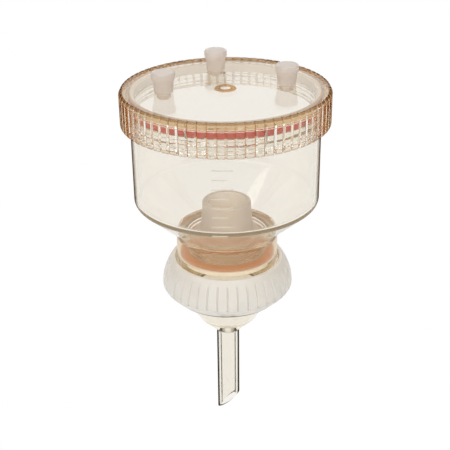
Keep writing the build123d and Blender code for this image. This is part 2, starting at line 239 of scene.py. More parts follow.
def press_thread(piece, root_r, height, bottom, turns, phase=0.0):
    """Pushes a helical ridge out of a wall at root_r, height mm proud (negative: inwards)."""
    half_base = 0.95
    half_crest = 0.5
    wall_margin = 0.02
    for vertex in piece.data.vertices:
        radius = math.hypot(vertex.co.x, vertex.co.y) / MM
        if abs(radius - root_r) > wall_margin:
            continue
        turn = math.atan2(vertex.co.y, vertex.co.x) / (2 * math.pi) - phase / 360
        level = (vertex.co.z / MM - bottom) / THREAD_LEAD - turn
        nearest = min(max(round(level), math.ceil(-turn)), math.floor(turns - turn))
        offset = abs(level - nearest) * THREAD_LEAD
        rise = min(max((half_base - offset) / (half_base - half_crest), 0), 1)
        share = 1 + height * rise / radius
        vertex.co.x *= share
        vertex.co.y *= share


def meshing_angle(bottom, mate_bottom):
    """Angle in degrees that starts a ridge midway between the turns of its mate's ridge."""
    return 360 * (bottom - mate_bottom - THREAD_LEAD / 2) / THREAD_LEAD


def rows(radius, low, high, pitch=0.45):
    """Outline points up or down a straight wall, close enough together to carry a thread."""
    count = max(round(abs(high - low) / pitch), 1)
    return [(radius, low + (high - low) * step / count, 0) for step in range(1, count)]


# %% [markdown]
# ## Materials
# Each finish is a small node tree. A node could get a function of its own for every kind,
# but one function that takes the kind, its settings and its links is enough. Colours are
# written as they would be picked on a screen and turned to linear values by one function.

# %% Colours and nodes


def colour(code):
    """An sRGB hex value as the linear colour that Blender's sockets want."""
    channels = [int(code[i : i + 2], 16) / 255 for i in (1, 3, 5)]
    return tuple(c / 12.92 if c <= 0.04045 else ((c + 0.055) / 1.055) ** 2.4 for c in channels) + (1,)


def add_node(tree, kind, settings=(), inputs=()):
    """One shader node with its settings and its inputs.

    An input is a number, a hex colour, a socket, or a node whose first output is meant.
    """
    node = tree.nodes.new("ShaderNode" + kind)
    for key, value in dict(settings).items():
        setattr(node, key, value)
    for key, value in dict(inputs).items():
        if isinstance(value, bpy.types.Node):
            value = value.outputs[0]
        if isinstance(value, bpy.types.NodeSocket):
            tree.links.new(value, node.inputs[key])
        else:
            node.inputs[key].default_value = colour(value) if isinstance(value, str) else value
    return node


def new_material(name, fill):
    """A node material that starts empty and is filled by fill(tree, output)."""
    material = bpy.data.materials.new(name)
    material.use_nodes = True
    tree = material.node_tree
    tree.nodes.clear()
    fill(tree, add_node(tree, "OutputMaterial"))
    print("material", name, "has", len(tree.nodes), "nodes")
    return material


# %% [markdown]
# ## Shares
# A tint that stays in one place on a moulding could be painted on an unwrapped skin. All of
# these pieces are round, so a height and a distance from the axis are enough to say where a
# tint lies, and it is then the same all the way round. Each share below is a number from 0 to
# 1 that is multiplied by others and blends two colours. The Mix node holds sockets for every
# kind of data: for colours, inputs 0, 6 and 7 are the share and the two colours, and output 2
# is the result.

# %% Shares by place, by angle and by the path of the light
COLOURS = {"data_type": "RGBA"}


def position(tree, axis):
    """Where a point lies along Z, in metres, or its distance from the Z axis as R."""
    place = add_node(tree, "TexCoord")
    axes = add_node(tree, "SeparateXYZ", inputs={0: place.outputs["Object"]})
    if axis != "R":
        return axes.outputs[axis]
    flat = add_node(tree, "CombineXYZ", inputs={0: axes.outputs["X"], 1: axes.outputs["Y"]})
    return add_node(tree, "VectorMath", {"operation": "LENGTH"}, {0: flat}).outputs["Value"]


def between(tree, axis, start, end):
    """A share that rises from 0 to 1 while Z or R goes from start to end, in mm."""
    place = position(tree, axis)
    return add_node(tree, "MapRange", inputs={0: place, 1: start * MM, 2: end * MM})


def all_of(tree, *shares):
    """Shares multiplied, so that only what lies in every one of them counts."""
    result = shares[0]
    for share in shares[1:]:
        result = add_node(tree, "Math", {"operation": "MULTIPLY"}, {0: result, 1: share})
    return result


def glancing(tree, start, end):
    """A share that rises where the surface is seen at a more and more glancing angle."""
    facing = add_node(tree, "LayerWeight", inputs={"Blend": 0.5}).outputs["Facing"]
    return add_node(tree, "MapRange", inputs={0: facing, 1: start, 2: end})


def unbent(tree):
    """1 before light enters a wall and 0 once it has left it, so only the near side is tinted."""
    walls = add_node(tree, "LightPath").outputs["Transmission Depth"]
    return add_node(tree, "MapRange", inputs={0: walls, 1: 1.5, 2: 0.5})


def bump(tree, scale, strength, distance):
    """A noise bump on Object coordinates: scale in bumps per metre, distance in metres."""
    place = add_node(tree, "TexCoord").outputs["Object"]
    noise = add_node(tree, "TexNoise", inputs={"Scale": scale, "Detail": 2.0, "Vector": place})
    return add_node(tree, "Bump", inputs={"Strength": strength, "Distance": distance, "Height": noise})


# %% [markdown]
# ## Amber polysulfone, injection moulded and polished
# The clear parts are polysulfone, an amber engineering plastic that stands steam. A tinted glass shader
# would give every wall the same colour. In the real plastic thin walls look almost colourless and thick
# ones look like weak tea, because the colour is in the depth, so it is a volume absorption here. Two kinds
# of light would take a renderer too long to find by itself, so they are helped: what reaches the pieces
# inside is let straight through the walls, and what runs along in a wall is a painted glow.

# %% Light paths in a clear wall
MIRRORED_FOUR_TIMES = 3.5


def straight_light(tree, bent, tint):
    """Lets light on its way to the pieces inside go straight through a wall.

    A bent path finds a lamp too rarely, and the pieces inside would stay dark.
    """
    rays = add_node(tree, "LightPath").outputs
    light = add_node(tree, "Math", {"operation": "MAXIMUM"},
                     {0: rays["Is Shadow Ray"], 1: rays["Is Diffuse Ray"]})
    straight = add_node(tree, "BsdfTransparent", inputs={"Color": tint})
    return add_node(tree, "MixShader", inputs={0: light, 1: bent, 2: straight})


def trapped_light(tree, bent, shade):
    """Paints a glow, an emission in a colour of its own, on light that was mirrored four times or more.

    In the real plastic such light keeps running along inside the wall and picks up its amber.
    """
    mirrored = add_node(tree, "LightPath").outputs["Glossy Depth"]
    trapped = add_node(tree, "Math", {"operation": "GREATER_THAN"}, {0: mirrored, 1: MIRRORED_FOUR_TIMES})
    # Painted light: the glow is an emission where the path would otherwise end dark.
    glow = add_node(tree, "Emission", inputs={"Color": shade, "Strength": 1.0})
    return add_node(tree, "MixShader", inputs={0: trapped, 1: bent, 2: glow})


# %% One recipe for the clear plastics


def polysulfone(name, density, waviness, skin, trapped, outline, outline_shade):
    """Clear amber plastic: polished mould marks as faint waves, colour from depth.

    skin(tree), trapped(tree) and outline_shade(tree) give a socket or a hex value: the colour of the
    surface, the colour of a painted glow that stands for the light that runs along inside the wall, and the
    colour of a painted shade on the share outline(tree), which lets light straight through and darkens it.
    """

    def fill(tree, output):
        """The wall's surface and the amber in its depth."""
        clear = add_node(tree, "BsdfPrincipled", inputs={
            "Base Color": skin(tree),
            "Transmission Weight": 1.0,
            "IOR": 1.55,
            "Roughness": 0.02,
            "Normal": bump(tree, scale=90, strength=waviness, distance=0.0004),
        })
        dim = add_node(tree, "BsdfTransparent", inputs={"Color": outline_shade(tree)})
        body = add_node(tree, "MixShader", inputs={0: outline(tree), 1: clear, 2: dim})
        wall = trapped_light(tree, body, trapped(tree))
        depth = add_node(tree, "VolumeAbsorption", inputs={"Color": "#EFCC5E", "Density": density})
        tree.links.new(straight_light(tree, wall, "#FFFDFA").outputs[0], output.inputs["Surface"])
        tree.links.new(depth.outputs[0], output.inputs["Volume"])

    return new_material(name, fill)


# %% [markdown]
# A moulding doesn't look one even amber. Light gathers in the cup's corner, in the thick neck and in the
# wall of the stem, and an outline darkens where a wall turns away from the eye; here these are painted
# light and painted shade, in the skin, the glow of the trapped light and the outline. Each piece could have
# its tints baked into its skin, but a few heights and radii, in millimetres, say the same in a line each.

# %% The funnel's plastic


def cup_skin(tree):
    """Clear, with an amber cast painted on the thick neck: a painted tint for the colour light picks up
    where it crosses many walls.
    """
    level = all_of(tree, between(tree, "Z", 46.5, 48.0), between(tree, "Z", 66.5, 65.0))
    wall = all_of(tree, between(tree, "R", 24.3, 24.6), between(tree, "R", 26.8, 26.2))
    near_neck = all_of(tree, level, wall, unbent(tree))
    return add_node(tree, "Mix", COLOURS, {0: near_neck, 6: "#F7F6F4", 7: "#DFC096"}).outputs[2]


def cup_painted_glow(tree):
    """Colours of the painted glow: a painted shade of grey-brown along the cup's corner, amber in the thick
    neck and painted light of cream at its end.
    """
    above_end = between(tree, "Z", 46, 49)
    neck = add_node(tree, "Mix", COLOURS, {0: above_end, 6: "#FBF5EB", 7: "#AC8E68"}).outputs[2]
    above_neck = between(tree, "Z", 55, 59)
    return add_node(tree, "Mix", COLOURS, {0: above_neck, 6: neck, 7: "#9C9280"}).outputs[2]


def cup_painted_outline(tree):
    """A thin dark edge painted on the cup's outer wall alone, a painted shade where the wall is seen at a
    glancing angle.
    """
    return all_of(tree, between(tree, "R", 43.5, 44.0), glancing(tree, 0.74, 0.88))


amber_polysulfone = polysulfone("amber_polysulfone", density=27.0, waviness=0.05, skin=cup_skin,
                                trapped=cup_painted_glow, outline=cup_painted_outline,
                                outline_shade=lambda tree: "#A2937D")

# %% The base's plastic


def base_painted_glow(tree):
    """Colours of the painted glow: near white in the bowl, a painted shade of grey-brown in the wall of the
    stem.
    """
    above_stem = between(tree, "Z", -1, 1)
    return add_node(tree, "Mix", COLOURS, {0: above_stem, 6: "#8A8478", 7: "#F1F1EF"}).outputs[2]


def stem_painted_outline(tree):
    """Dark edges painted on the stem alone, a painted shade where it is seen at a glancing angle."""
    return all_of(tree, between(tree, "Z", 0.5, -0.5), glancing(tree, 0.5, 0.62))


amber_polysulfone_base = polysulfone("amber_polysulfone_base", density=38.0, waviness=0.01,
                                     skin=lambda tree: "#F7F6F3", trapped=base_painted_glow,
                                     outline=stem_painted_outline, outline_shade=lambda tree: "#7E776A")

# %% The lid's plastic


def lid_top(tree):
    """The share of what lies as high as the top of the disc."""
    return between(tree, "Z", disc_top - 0.3, disc_top - 0.1)


def lid_skin(tree):
    """Clear, with a darker amber painted on the outer margin of the disc and on the rim: a painted shade
    for the deeper colour seen along the rim's wall.
    """
    margin = all_of(tree, lid_top(tree), between(tree, "R", 43.4, 44.2))
    return add_node(tree, "Mix", COLOURS, {0: margin, 6: "#F6F4F0", 7: "#AC8C68"}).outputs[2]


def centre_ring(tree):
    """The share of the low ring in the middle of the disc."""
    return all_of(tree, between(tree, "R", 5.2, 5.0), between(tree, "R", 2.3, 2.6), lid_top(tree))


def lid_painted_outline(tree):
    """Painted shade: thin brown lines on the skirt's groove walls where they are seen at a glancing angle,
    and a pale painted shade on the centre ring.
    """
    lines = all_of(tree, between(tree, "R", 47.0, 47.8), unbent(tree), glancing(tree, 0.32, 0.66))
    return add_node(tree, "Math", {"operation": "MAXIMUM"}, {0: lines, 1: centre_ring(tree)})


def lid_painted_outline_shade(tree):
    """Colours of the painted shade: tan, darker where a wall turns away the most, grey-brown on the crest,
    pale on the ring.
    """
    steep = glancing(tree, 0.62, 0.88)
    lines = add_node(tree, "Mix", COLOURS, {0: steep, 6: "#D4A97E", 7: "#8A7058"}).outputs[2]
    crest = between(tree, "Z", rim_crest - 0.9, rim_crest - 0.5)
    rim = add_node(tree, "Mix", COLOURS, {0: crest, 6: lines, 7: "#8E6E54"}).outputs[2]
    return add_node(tree, "Mix", COLOURS, {0: centre_ring(tree), 6: rim, 7: "#EFE2D5"}).outputs[2]


# The lid's trapped light gets a painted glow of one pale tan.
amber_polysulfone_lid = polysulfone("amber_polysulfone_lid", density=12.0, waviness=0.05, skin=lid_skin,
                                    trapped=lambda tree: "#DDCCB6", outline=lid_painted_outline,
                                    outline_shade=lid_painted_outline_shade)

# %% [markdown]
# ## Silicone, polypropylene and the membrane
# The plugs and the stopper are translucent silicone rubber, cast and left slightly matt. The
# nut is polypropylene, moulded and a little glossy, and the membrane is matt cellulose. A
# plain diffuse shader would make the rubber and the nut look like chalk. They scatter light
# below the surface, so they get a subsurface weight, a share of transmission and a faint
# cloudiness. The real grain is too fine to show, so its bumps are drawn up to 0.8 mm wide.

# %% One recipe for plastics that scatter light


def milky(name, shade, deep, glow, radius_mm, roughness, grain, see_through=0.0, inner=None,
          foot=None, core=None, lift=0.0):
    """A plastic or rubber that scatters light inside: a skin colour, a depth and a fine grain.

    inner is the tint of the light it lets through to what it encloses. foot is a height in mm and a dark
    painted shade on the edge below it, for the shadow there. core is a radius in mm and a lighter colour
    painted inside it, a painted light in a hollow. lift is a faint shine of its own, which stands for the
    light that reaches it from its sides.
    """
    foot_blur = 0.05
    core_blur = 0.6

    def fill(tree, output):
        """A clouded skin over a body that scatters light."""
        place = add_node(tree, "TexCoord").outputs["Object"]
        cloud = add_node(tree, "TexNoise", inputs={"Scale": 140, "Detail": 3, "Vector": place})
        surface = add_node(tree, "Mix", COLOURS, {0: cloud, 6: shade, 7: deep}).outputs[2]
        if core:
            core_r, core_shade = core
            outside = between(tree, "R", core_r, core_r + core_blur)
            surface = add_node(tree, "Mix", COLOURS, {0: outside, 6: core_shade, 7: surface}).outputs[2]
        if foot:
            foot_z, foot_shade = foot
            above = between(tree, "Z", foot_z - foot_blur, foot_z + foot_blur)
            surface = add_node(tree, "Mix", COLOURS, {0: above, 6: foot_shade, 7: surface}).outputs[2]
        shader = add_node(tree, "BsdfPrincipled", inputs={
            "Base Color": surface,
            "Subsurface Weight": glow,
            "Subsurface Radius": (radius_mm * MM, radius_mm * MM * 0.85, radius_mm * MM * 0.7),
            "Subsurface Scale": 1.0,
            "Transmission Weight": see_through,
            "IOR": 1.42,
            "Roughness": roughness,
            "Emission Color": shade,
            "Emission Strength": lift,
            "Normal": bump(tree, scale=grain, strength=0.12, distance=0.0001),
        })
        if inner:
            shader = straight_light(tree, shader, inner)
        tree.links.new(shader.outputs[0], output.inputs["Surface"])

    return new_material(name, fill)


# %% The five milky finishes and the membrane
# The nut's foot gets a near-black painted shade, for the shadow along its lower edge, this high above the
# nut's bottom.
PAINTED_FOOT_SHADE_HEIGHT = 1.3
# The stopper's mouth, inside a radius of 9 mm, is painted lighter: painted light in its hollow.
milky_silicone = milky("milky_silicone", "#DAD2CA", "#D1C8C0", glow=0.5, radius_mm=6.0,
                       roughness=0.42, grain=2500, see_through=0.45, inner="#F2EBE2",
                       core=(9.0, "#FFF9F2"))
plug_silicone = milky("plug_silicone", "#E6DED8", "#DBD2CB", glow=0.4, radius_mm=3.0,
                      roughness=0.38, grain=2500, see_through=0.4, inner="#DAD2C8")
orange_silicone = milky("orange_silicone", "#DFB187", "#D3A47B", glow=0.3, radius_mm=2.0,
                        roughness=0.4, grain=2500, see_through=0.3, inner="#F5E0C8")
white_polypropylene = milky("white_polypropylene", "#EDEAE5", "#E4E0D9", glow=0.2, radius_mm=2.0,
                            roughness=0.16, grain=1200, see_through=0.25, inner="#F4F2EE",
                            foot=(nut_bottom + PAINTED_FOOT_SHADE_HEIGHT, "#1E1A15"))
support_polypropylene = milky("support_polypropylene", "#F6F2EA", "#EFEAE0", glow=0.4,
                              radius_mm=3.0, roughness=0.3, grain=1200, lift=0.45)
cellulose_membrane = milky("cellulose_membrane", "#F6F3EA", "#EFEBE0", glow=0.0, radius_mm=1.0,
                           roughness=0.9, grain=6000)

# %% The gaskets' silicone


def fill_gasket(tree, output):
    """Pale cream where the red outer wall doesn't reach. The red outer wall is further out than any gasket
    but the lid's reaches. On the lid's red gasket the cream top and bore are painted light, for how pale it
    looks there through the clear lid.
    """
    below_top = between(tree, "Z", lid_gasket_top - 0.2, lid_gasket_top - 0.3)
    outer_wall = all_of(tree, between(tree, "R", 43.8, 44.0), below_top)
    # Painted light: the lid gasket's top and bore are pale cream, its outer wall red.
    shade = add_node(tree, "Mix", COLOURS, {0: outer_wall, 6: "#E4DAC8", 7: "#CA513B"}).outputs[2]
    shader = add_node(tree, "BsdfPrincipled", inputs={
        "Base Color": shade,
        "Subsurface Weight": 0.2,
        "Subsurface Radius": (1.5 * MM, 1.2 * MM, MM),
        "Subsurface Scale": 1.0,
        "Transmission Weight": 0.15,
        "Roughness": 0.4,
    })
    tree.links.new(shader.outputs[0], output.inputs["Surface"])


red_silicone = new_material("red_silicone", fill_gasket)

# %% [markdown]
# ## The funnel
# Cup, conical floor and neck are one moulding. The floor runs on inside the neck down to the
# filter bore, and the thick place that would leave is cored out from below, so the neck is an
# outer wall round an inner tube. A single skin given a thickness would bend light wrongly
# wherever the wall changes, so one outline goes round the outside and the inside.

# %% Turn the funnel


def floor_height(radius):
    """Height of the floor's inner face at a radius, in mm."""
    return corner_z - (CUP_R - radius) * floor_slope + floor_rise


neck_top = corner_z - (CUP_R - NECK_R) * floor_slope
core_top = tube_end + CORE_DEPTH

TUBE_RINGS = 4
RING_HALF_WIDTH = 0.7
RING_HEIGHT = 0.6
tube_rings = []
for ring in range(1, TUBE_RINGS + 1):
    ring_z = core_top - CORE_DEPTH * ring / (TUBE_RINGS + 1)
    tube_rings += [(INNER_TUBE_R, ring_z + RING_HALF_WIDTH, 0.3), (INNER_TUBE_R + RING_HEIGHT, ring_z, 0.3),
                   (INNER_TUBE_R, ring_z - RING_HALF_WIDTH, 0.3)]

CORE_CHAMFER = 1.5
funnel_outline = rounded(
    [(cup_bore_r, rim_top, 0.5), (CUP_R, rim_top, 0.5)]
    + rows(CUP_R, rim_top - 0.6, rim_top - 8.5)
    + [(CUP_R, corner_z, 2.2), (NECK_R, neck_top, 0.8)]
    + rows(NECK_R, neck_end + 11.5, neck_end + 0.4)
    + [(NECK_R, neck_end, 0.25), (NECK_BORE_R, neck_end, 0.25),
       (NECK_BORE_R, core_top - CORE_CHAMFER, 0), (NECK_BORE_R - CORE_CHAMFER, core_top, 0.8),
       (INNER_TUBE_R, core_top, 0.6)]
    + tube_rings
    + [(INNER_TUBE_R, tube_end, 0.2), (FILTER_BORE_R, tube_end, 0.3),
       (FILTER_BORE_R, floor_height(FILTER_BORE_R), 1.5),
       (cup_bore_r, floor_height(cup_bore_r), 2.5)]
)
funnel = turned("funnel_shell", funnel_outline, steps=240)
press_thread(funnel, CUP_R, LID_THREAD_HEIGHT, cup_thread_bottom, LID_THREAD_TURNS)
press_thread(funnel, NECK_R, NUT_THREAD_HEIGHT, neck_thread_bottom, NECK_THREAD_TURNS)
smooth(funnel)
dress(funnel, "funnel", "funnel", amber_polysulfone)

# %% [markdown]
# The volume is read off eight short lines on the front of the cup. They stand a hair proud of
# the wall and are left rough from the mould, which is why they catch the light. Drawn as a
# pattern in the material they would have no edge, so each is a short turned bar.

# %% Graduation lines


def frost(tree, output):
    """Rough moulded plastic: half clear, half scattering."""
    rough = add_node(tree, "BsdfDiffuse", inputs={"Color": "#FFFDF6"})
    clear = add_node(tree, "BsdfTransparent", inputs={"Color": "#D9D2C4"})
    both = add_node(tree, "MixShader", inputs={0: 0.5, 1: rough, 2: clear})
    tree.links.new(both.outputs[0], output.inputs["Surface"])


frosted_mark = new_material("frosted_mark", frost)
GRADUATION_COUNT = 8
GRADUATION_STEP = 4.48
GRADUATION_START = math.radians(261.5)
FIRST_LINE_DROP = 14.6
LONG_LINE, SHORT_LINE = 9.5, 7.0
LINE_PROUD, LINE_SUNK = 0.14, 0.05
LINE_FOOT, LINE_CREST = 0.22, 0.18
first_line = rim_top - FIRST_LINE_DROP
lines = []
for index in range(GRADUATION_COUNT):
    line_z = first_line - index * GRADUATION_STEP
    arc = (SHORT_LINE if index % 2 else LONG_LINE) / CUP_R
    line = turned("graduation_line", [
        (CUP_R - LINE_SUNK, line_z - LINE_FOOT), (CUP_R + LINE_PROUD, line_z - LINE_CREST),
        (CUP_R + LINE_PROUD, line_z + LINE_CREST), (CUP_R - LINE_SUNK, line_z + LINE_FOOT)],
        steps=12, arc=math.degrees(arc))
    line.data.transform(Matrix.Rotation(GRADUATION_START + arc, 4, "Z"))
    lines.append(line)
deselect_all()
for line in lines:
    line.select_set(True)
bpy.context.view_layer.objects.active = lines[0]
bpy.ops.object.join()
graduations = bpy.context.object
graduations.name = graduations.data.name = "graduation_lines"
graduations.data.materials.clear()
graduations.data.materials.append(frosted_mark)
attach(graduations, "funnel")
print(GRADUATION_COUNT, "graduation lines, the first at", round(first_line, 2), "mm")

# %% [markdown]
# ## The base
# A flange and a spigot carry the filter, and a 45 degree cone gathers the filtrate into the
# stem. The stem's tip is cut on a slant, so that drops leave it at the point. A boolean with
# a tilted block would cut it too. Bisect does it in one step, and bridging the two loops that
# it leaves closes the cut face between the stem's outside and its bore.

# %% Turn the base
STEM_R = 5.75
STEM_BORE_R = 4.0
STEM_CUT_ALLOWANCE = 3
BASE_WALL = 2.2
BASE_CONE_R = 14.5
BASE_BODY_R = 23.0
BASE_FLANGE_R = 24.9
SPIGOT_R = 23.45
RECESS_R = 20.4
CHAMBER_R = 18.5
CHAMBER_FOOT_Z = 19.5
CONE_BORE_R = 12.8
SUPPORT_THICKNESS = 3.0
SEAL_GROOVE_R = 21.5
SEAL_GROOVE_HALF = 1.1
flange_top = spigot_top - 13.8
flange_bottom = flange_top - 6.0
seal_z = spigot_top - 8.0
inner_offset = BASE_WALL * math.sqrt(2)
stem_end = stem_tip - STEM_CUT_ALLOWANCE
base_outline = rounded([
    (STEM_BORE_R, stem_end, 0), (STEM_R, stem_end, 0), (STEM_R, 0, 1.5),
    (BASE_CONE_R, BASE_CONE_R - STEM_R, 8.0), (BASE_BODY_R, nut_bottom, 2.0),
    (BASE_BODY_R, flange_bottom, 0.5),
    (BASE_FLANGE_R, flange_bottom, 0.4), (BASE_FLANGE_R, flange_top, 0.4),
    (SPIGOT_R, flange_top, 0.3), (SPIGOT_R, seal_z - SEAL_GROOVE_HALF, 0.1),
    (SEAL_GROOVE_R, seal_z - SEAL_GROOVE_HALF, 0.1), (SEAL_GROOVE_R, seal_z + SEAL_GROOVE_HALF, 0.1),
    (SPIGOT_R, seal_z + SEAL_GROOVE_HALF, 0.1), (SPIGOT_R, spigot_top, 0.3),
    (RECESS_R, spigot_top, 0.2), (RECESS_R, spigot_top - SUPPORT_THICKNESS, 0.1),
    (CHAMBER_R, spigot_top - SUPPORT_THICKNESS, 0.3),
    (CHAMBER_R, CHAMBER_FOOT_Z, 1.5), (CONE_BORE_R, CONE_BORE_R - STEM_R + inner_offset, 6.0),
    (STEM_BORE_R, STEM_BORE_R - STEM_R + inner_offset, 1.5),
])
base = turned("base_shell", base_outline, steps=192)

# %% Cut the stem on a slant
BEVEL_ANGLE = math.radians(41.5)
BEVEL_TURN = math.radians(-16)
bevel_normal = Vector((math.sin(BEVEL_ANGLE), 0, -math.cos(BEVEL_ANGLE)))
bevel_normal.rotate(Matrix.Rotation(BEVEL_TURN, 3, "Z"))
bevel_height = stem_tip + STEM_R * math.tan(BEVEL_ANGLE)
deselect_all()
base.select_set(True)
bpy.context.view_layer.objects.active = base
bpy.ops.object.mode_set(mode="EDIT")
bpy.ops.mesh.select_all(action="SELECT")
bpy.ops.mesh.bisect(plane_co=(0, 0, bevel_height * MM), plane_no=bevel_normal,
                    clear_outer=True, clear_inner=False)
bpy.ops.mesh.select_all(action="DESELECT")
bpy.ops.mesh.select_non_manifold()
bpy.ops.mesh.bridge_edge_loops()
bpy.ops.mesh.select_all(action="SELECT")
bpy.ops.mesh.normals_make_consistent(inside=False)
bpy.ops.object.mode_set(mode="OBJECT")
print("stem tip cut at", round(bevel_height, 2), "mm on the axis")
smooth(base)
dress(base, "base", "base", amber_polysulfone_base)

# %% [markdown]
# ## The lid
# The lid is a flat disc with a raised rim and a deep skirt of 72 flat ribs. The grooves between them are
# narrow, and they show as dark lines because light is thrown aside there; the material adds a painted shade
# to those lines. A bump in the material would leave the edge of the skirt round, so the grooves are pressed
# into the mesh.

# %% Turn the lid and press its ribs
LID_R = 49.05
SKIRT_BORE_R = 45.9
LID_RIB_COUNT = 72
LID_GROOVE_HALF_WIDTH = 0.3
LID_GROOVE_DEPTH = 0.85
LID_RECESS_R = 44.4
LID_STEP = 0.6
RIM_FOOT_R = 47.2
RIM_CHAMFER = 0.85
RIM_CREST_WIDTH = 0.5
lid_thread_bottom = lid_low + 1.25
lid_profile = rounded([
    (0, disc_bottom, 0), (LID_RECESS_R, disc_bottom, 0.1), (LID_RECESS_R, disc_bottom - LID_STEP, 0.1),
    (SKIRT_BORE_R, disc_bottom - LID_STEP, 0.4)]
    + rows(SKIRT_BORE_R, disc_bottom - 3.6, lid_low + 0.2)
    + [(SKIRT_BORE_R, lid_low, 0.2), (LID_R, lid_low, 0.5),
       (LID_R, lid_low + 3, 0), (LID_R, lid_low + 7, 0),
       (LID_R, rim_crest - 1.6, 0.5), (LID_R - RIM_CHAMFER, rim_crest, 0.3),
       (LID_R - RIM_CHAMFER - RIM_CREST_WIDTH, rim_crest, 0.2), (RIM_FOOT_R, disc_top, 0.4),
       (0, disc_top, 0)])
lid = turned("lid_shell", lid_profile, steps=LID_RIB_COUNT * 6)
press_grooves(lid, LID_RIB_COUNT, LID_GROOVE_HALF_WIDTH, lambda z: LID_GROOVE_DEPTH,
              lambda r, z: r > LID_R - 1.3)
press_thread(lid, SKIRT_BORE_R, -LID_THREAD_HEIGHT, lid_thread_bottom, LID_THREAD_TURNS,
             phase=meshing_angle(lid_thread_bottom, cup_thread_bottom))

# %% [markdown]
# ## Ports and centre ring
# The three ports are plain bores round the disc that the plugs close, and a low ring marks
# the middle. The ring could lie on the disc as a piece of its own, but two clear bodies that
# only touch show a seam between them. So a boolean joins the ring and opens the bores.

# %% Rods that a boolean adds or takes away


def rod(name, radius, low, high, centre=(0, 0), bevel_mm=0.0):
    """A plain round rod between two heights, in mm."""
    deselect_all()
    bpy.ops.mesh.primitive_cylinder_add(
        vertices=64, radius=radius * MM, depth=(high - low) * MM,
        location=(centre[0] * MM, centre[1] * MM, (high + low) / 2 * MM))
    tool = bpy.context.object
    tool.name = name
    bpy.ops.object.transform_apply(location=True, rotation=True, scale=True)
    if bevel_mm:
        bevel = tool.modifiers.new("edge", "BEVEL")
        bevel.width = bevel_mm * MM
        bevel.segments = 3
        bpy.ops.object.modifier_apply(modifier="edge")
    return tool


def combine(piece, tool, operation):
    """Joins a tool to a piece or cuts it away, then deletes the tool."""
    deselect_all()
    piece.select_set(True)
    bpy.context.view_layer.objects.active = piece
    boolean = piece.modifiers.new("combine", "BOOLEAN")
    boolean.object = tool
    boolean.operation = operation
    boolean.solver = "EXACT"
    bpy.ops.object.modifier_apply(modifier="combine")
    bpy.data.objects.remove(tool, do_unlink=True)


def centre_of(node):
    """Middle of a CAD node seen from above, in mm."""
    low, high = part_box(node)
    return (low[0] + high[0]) / 2 / MM, (low[1] + high[1]) / 2 / MM


# %% Join the ring and open the ports
PLUG_NAMES = ["port_plug_right", "port_plug_back", "port_plug_left"]
PORT_BORE_R = 3.2
CENTRE_RING_R = 4.8
CENTRE_DISH_R = 3.1
combine(lid, rod("centre_ring", CENTRE_RING_R, disc_top - 1, disc_top + 0.7, bevel_mm=0.25), "UNION")
combine(lid, rod("centre_dish", CENTRE_DISH_R, disc_top + 0.2, disc_top + 2.0), "DIFFERENCE")
for plug_name in PLUG_NAMES:
    port = centre_of(plug_name)
    combine(lid, rod("bore", PORT_BORE_R, disc_bottom - 1, disc_top + 1, port), "DIFFERENCE")
smooth(lid, 25)
dress(lid, "lid", "lid", amber_polysulfone_lid)
print("lid faces:", len(lid.data.polygons))

# %% [markdown]
# ## The locking nut
# The nut is bell-shaped, with 40 ribs that fade into a smooth shoulder above and stop at a
# plain foot below. Forty separate ribs could be set round a plain bell. The real ones are one
# wall with grooves between, so the bell is turned first and the grooves are pressed into it.

# %% Turn the nut
NUT_TOP_R = 27.4
NUT_WIDEST_R = 32.4
NUT_BOTTOM_R = 26.9
NUT_LIP_R = 23.5
NUT_LIP_THICKNESS = 3.0
NUT_BORE_R = 25.75
NUT_RIB_COUNT = 40
NUT_THREAD_DROP = 1.05
nut_thread_bottom = nut_top - NUT_THREAD_DROP - THREAD_LEAD * NUT_THREAD_TURNS
widest_z = nut_bottom + 6.8


def bell(height):
    """Radius of the nut's outside between its shoulder and its widest place."""
    share = (nut_top - height) / (nut_top - widest_z)
    return NUT_TOP_R + (NUT_WIDEST_R - NUT_TOP_R) * math.sin(share * math.pi / 2) ** 0.8


BELL_STEPS = 26
bell_heights = [nut_top + (widest_z - nut_top) * step / BELL_STEPS for step in range(1, BELL_STEPS + 1)]
bell_points = [(bell(height), height, 0) for height in bell_heights]
nut_outline = rounded(
    [(NUT_BORE_R, nut_top, 0.5), (NUT_TOP_R, nut_top, 0.3)] + bell_points
    + [(NUT_WIDEST_R, widest_z - 0.5, 0), (NUT_WIDEST_R - 0.9, widest_z - 2.2, 1.0),
       (NUT_BOTTOM_R, nut_bottom, 0.4), (NUT_LIP_R, nut_bottom, 0.4),
       (NUT_LIP_R, nut_bottom + NUT_LIP_THICKNESS, 0.4),
       (NUT_BORE_R, nut_bottom + NUT_LIP_THICKNESS, 0.6)]
    + rows(NUT_BORE_R, nut_thread_bottom - 1.2, nut_top - 0.6))
nut = turned("locking_nut_shell", nut_outline, steps=NUT_RIB_COUNT * 8)

# %% Press the nut's ribs and its thread
NUT_GROOVE_HALF_WIDTH = 0.3
NUT_GROOVE_DEPTH = 0.744
GROOVE_FADE = 2.2
groove_top = nut_top - 1.8


def nut_groove(height):
    """Depth of a groove: sharp at its foot, running out at its top as the shoulder turns in."""
    top_fade = min(max((groove_top - height) / GROOVE_FADE, 0), 1)
    foot_stop = 1 if height > widest_z - 0.1 else 0
    return NUT_GROOVE_DEPTH * top_fade * foot_stop


press_grooves(nut, NUT_RIB_COUNT, NUT_GROOVE_HALF_WIDTH, nut_groove,
              lambda r, z: r > NUT_TOP_R - 0.5 and z > nut_bottom + 0.6)
press_thread(nut, NUT_BORE_R, -NUT_THREAD_HEIGHT, nut_thread_bottom, NUT_THREAD_TURNS,
             phase=meshing_angle(nut_thread_bottom, neck_thread_bottom))
smooth(nut, 30)
dress(nut, "locking_nut", "locking_nut", white_polypropylene)

